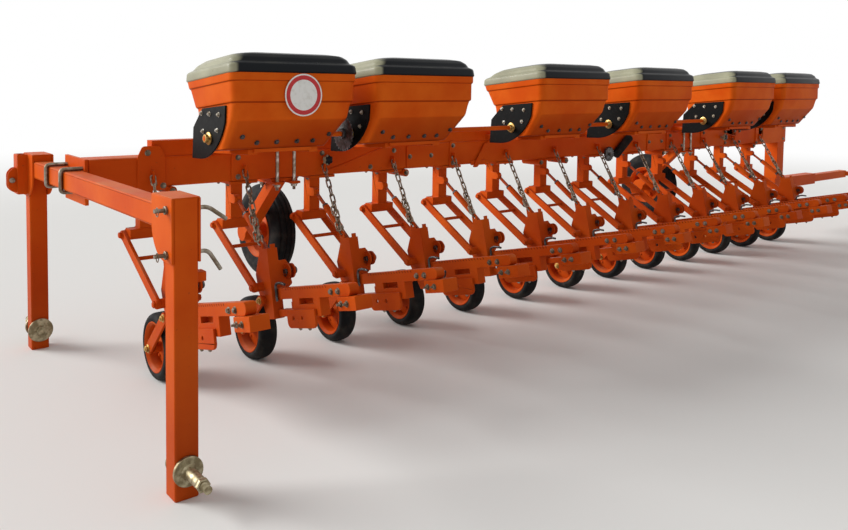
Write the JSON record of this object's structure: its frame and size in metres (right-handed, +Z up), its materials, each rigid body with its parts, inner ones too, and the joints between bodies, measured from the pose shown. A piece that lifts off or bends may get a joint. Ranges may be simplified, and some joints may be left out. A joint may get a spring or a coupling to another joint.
{
  "type": "row crop cultivator",
  "caption": "Mounted inter-row cultivator: square toolbar with hoeing units on lift chains, lidded fertiliser hoppers, gauge and support wheels, transport legs and drawbar.",
  "frame": {"origin": "middle of the outline on the floor", "axes": "+X along the toolbar to the drawbar end, +Y in the driving direction, +Z up"},
  "size_m": [7.7781, 2.192, 1.453],
  "materials": {
    "orange_paint": "satin orange paint on welded steel",
    "orange_plastic": "moulded orange polyethylene",
    "black_plastic": "moulded black polyethylene",
    "black_paint": "black painted plate",
    "rubber": "black rubber",
    "zinc_steel": "zinc plated and bare steel"
  },
  "bodies": {
    "root": {"toolbar": "orange_paint", "lower_links": "orange_paint", "gang_forks": "orange_paint", "upper_links": "orange_paint", "gang_beams": "orange_paint", "tool_holders": "orange_paint", "wheel_arms": "orange_paint", "lift_chains": "zinc_steel", "unit_posts": "orange_paint", "hopper_1": "orange_plastic", "hopper_2": "orange_plastic", "hopper_3": "orange_plastic", "hopper_4": "orange_plastic", "hopper_5": "orange_plastic", "hopper_6": "orange_plastic", "hopper_rail": "orange_paint", "hopper_end_plates": "black_paint", "meter_shafts": "zinc_steel", "support_arms": "orange_paint", "transport_portal": "orange_paint", "wheel_spindles": "zinc_steel", "u_bolts": "zinc_steel", "hitch_frame": "orange_paint", "drawbar": "orange_paint"},
    "gauge_wheel_01": {"gauge_rim_01": "orange_paint", "gauge_tyre_01": "rubber"},
    "gauge_wheel_02": {"gauge_rim_02": "orange_paint", "gauge_tyre_02": "rubber"},
    "gauge_wheel_03": {"gauge_rim_03": "orange_paint", "gauge_tyre_03": "rubber"},
    "gauge_wheel_04": {"gauge_rim_04": "orange_paint", "gauge_tyre_04": "rubber"},
    "gauge_wheel_05": {"gauge_rim_05": "orange_paint", "gauge_tyre_05": "rubber"},
    "gauge_wheel_06": {"gauge_rim_06": "orange_paint", "gauge_tyre_06": "rubber"},
    "gauge_wheel_07": {"gauge_rim_07": "orange_paint", "gauge_tyre_07": "rubber"},
    "gauge_wheel_08": {"gauge_rim_08": "orange_paint", "gauge_tyre_08": "rubber"},
    "gauge_wheel_09": {"gauge_rim_09": "orange_paint", "gauge_tyre_09": "rubber"},
    "gauge_wheel_10": {"gauge_rim_10": "orange_paint", "gauge_tyre_10": "rubber"},
    "gauge_wheel_11": {"gauge_rim_11": "orange_paint", "gauge_tyre_11": "rubber"},
    "gauge_wheel_12": {"gauge_rim_12": "orange_paint", "gauge_tyre_12": "rubber"},
    "gauge_wheel_13": {"gauge_rim_13": "orange_paint", "gauge_tyre_13": "rubber"},
    "support_wheel_left": {"support_rim_left": "orange_paint", "support_tyre_left": "rubber"},
    "support_wheel_right": {"support_rim_right": "orange_paint", "support_tyre_right": "rubber"},
    "lid_1": {"hopper_lid_1": "black_plastic"},
    "lid_2": {"hopper_lid_2": "black_plastic"},
    "lid_3": {"hopper_lid_3": "black_plastic"},
    "lid_4": {"hopper_lid_4": "black_plastic"},
    "lid_5": {"hopper_lid_5": "black_plastic"},
    "lid_6": {"hopper_lid_6": "black_plastic"}
  },
  "joints": [
    {"name": "gauge_wheel_01_turn", "type": "hinge", "parent": "root", "child": "gauge_wheel_01", "pos_m": [-3.50085, 0.113, 0.15], "axis": [-1, 0, 0], "continuous": true},
    {"name": "gauge_wheel_02_turn", "type": "hinge", "parent": "root", "child": "gauge_wheel_02", "pos_m": [-3.05085, 0.113, 0.15], "axis": [-1, 0, 0], "continuous": true},
    {"name": "gauge_wheel_03_turn", "type": "hinge", "parent": "root", "child": "gauge_wheel_03", "pos_m": [-2.60085, 0.113, 0.15], "axis": [-1, 0, 0], "continuous": true},
    {"name": "gauge_wheel_04_turn", "type": "hinge", "parent": "root", "child": "gauge_wheel_04", "pos_m": [-2.15085, 0.113, 0.15], "axis": [-1, 0, 0], "continuous": true},
    {"name": "gauge_wheel_05_turn", "type": "hinge", "parent": "root", "child": "gauge_wheel_05", "pos_m": [-1.70085, 0.113, 0.15], "axis": [-1, 0, 0], "continuous": true},
    {"name": "gauge_wheel_06_turn", "type": "hinge", "parent": "root", "child": "gauge_wheel_06", "pos_m": [-1.25085, 0.113, 0.15], "axis": [-1, 0, 0], "continuous": true},
    {"name": "gauge_wheel_07_turn", "type": "hinge", "parent": "root", "child": "gauge_wheel_07", "pos_m": [-0.80085, 0.113, 0.15], "axis": [-1, 0, 0], "continuous": true},
    {"name": "gauge_wheel_08_turn", "type": "hinge", "parent": "root", "child": "gauge_wheel_08", "pos_m": [-0.35085, 0.113, 0.15], "axis": [-1, 0, 0], "continuous": true},
    {"name": "gauge_wheel_09_turn", "type": "hinge", "parent": "root", "child": "gauge_wheel_09", "pos_m": [0.09915, 0.113, 0.15], "axis": [-1, 0, 0], "continuous": true},
    {"name": "gauge_wheel_10_turn", "type": "hinge", "parent": "root", "child": "gauge_wheel_10", "pos_m": [0.54915, 0.113, 0.15], "axis": [-1, 0, 0], "continuous": true},
    {"name": "gauge_wheel_11_turn", "type": "hinge", "parent": "root", "child": "gauge_wheel_11", "pos_m": [0.99915, 0.113, 0.15], "axis": [-1, 0, 0], "continuous": true},
    {"name": "gauge_wheel_12_turn", "type": "hinge", "parent": "root", "child": "gauge_wheel_12", "pos_m": [1.44915, 0.113, 0.15], "axis": [-1, 0, 0], "continuous": true},
    {"name": "gauge_wheel_13_turn", "type": "hinge", "parent": "root", "child": "gauge_wheel_13", "pos_m": [1.89915, 0.113, 0.15], "axis": [-1, 0, 0], "continuous": true},
    {"name": "support_wheel_left_turn", "type": "hinge", "parent": "root", "child": "support_wheel_left", "pos_m": [-2.70635, 0.653, 0.505], "axis": [-1, 0, 0], "continuous": true},
    {"name": "support_wheel_right_turn", "type": "hinge", "parent": "root", "child": "support_wheel_right", "pos_m": [0.89365, 0.653, 0.505], "axis": [-1, 0, 0], "continuous": true},
    {"name": "lid_1_hinge", "type": "hinge", "parent": "root", "child": "lid_1", "pos_m": [-3.08285, 0.14056, 1.31901], "axis": [-1, 0, 0], "range_deg": [0, 100]},
    {"name": "lid_2_hinge", "type": "hinge", "parent": "root", "child": "lid_2", "pos_m": [-2.35685, 0.14056, 1.31901], "axis": [-1, 0, 0], "range_deg": [0, 100]},
    {"name": "lid_3_hinge", "type": "hinge", "parent": "root", "child": "lid_3", "pos_m": [-1.24685, 0.14056, 1.31901], "axis": [-1, 0, 0], "range_deg": [0, 100]},
    {"name": "lid_4_hinge", "type": "hinge", "parent": "root", "child": "lid_4", "pos_m": [-0.35485, 0.14056, 1.31901], "axis": [-1, 0, 0], "range_deg": [0, 100]},
    {"name": "lid_5_hinge", "type": "hinge", "parent": "root", "child": "lid_5", "pos_m": [0.75515, 0.14056, 1.31901], "axis": [-1, 0, 0], "range_deg": [0, 100]},
    {"name": "lid_6_hinge", "type": "hinge", "parent": "root", "child": "lid_6", "pos_m": [1.48115, 0.14056, 1.31901], "axis": [-1, 0, 0], "range_deg": [0, 100]}
  ]
}
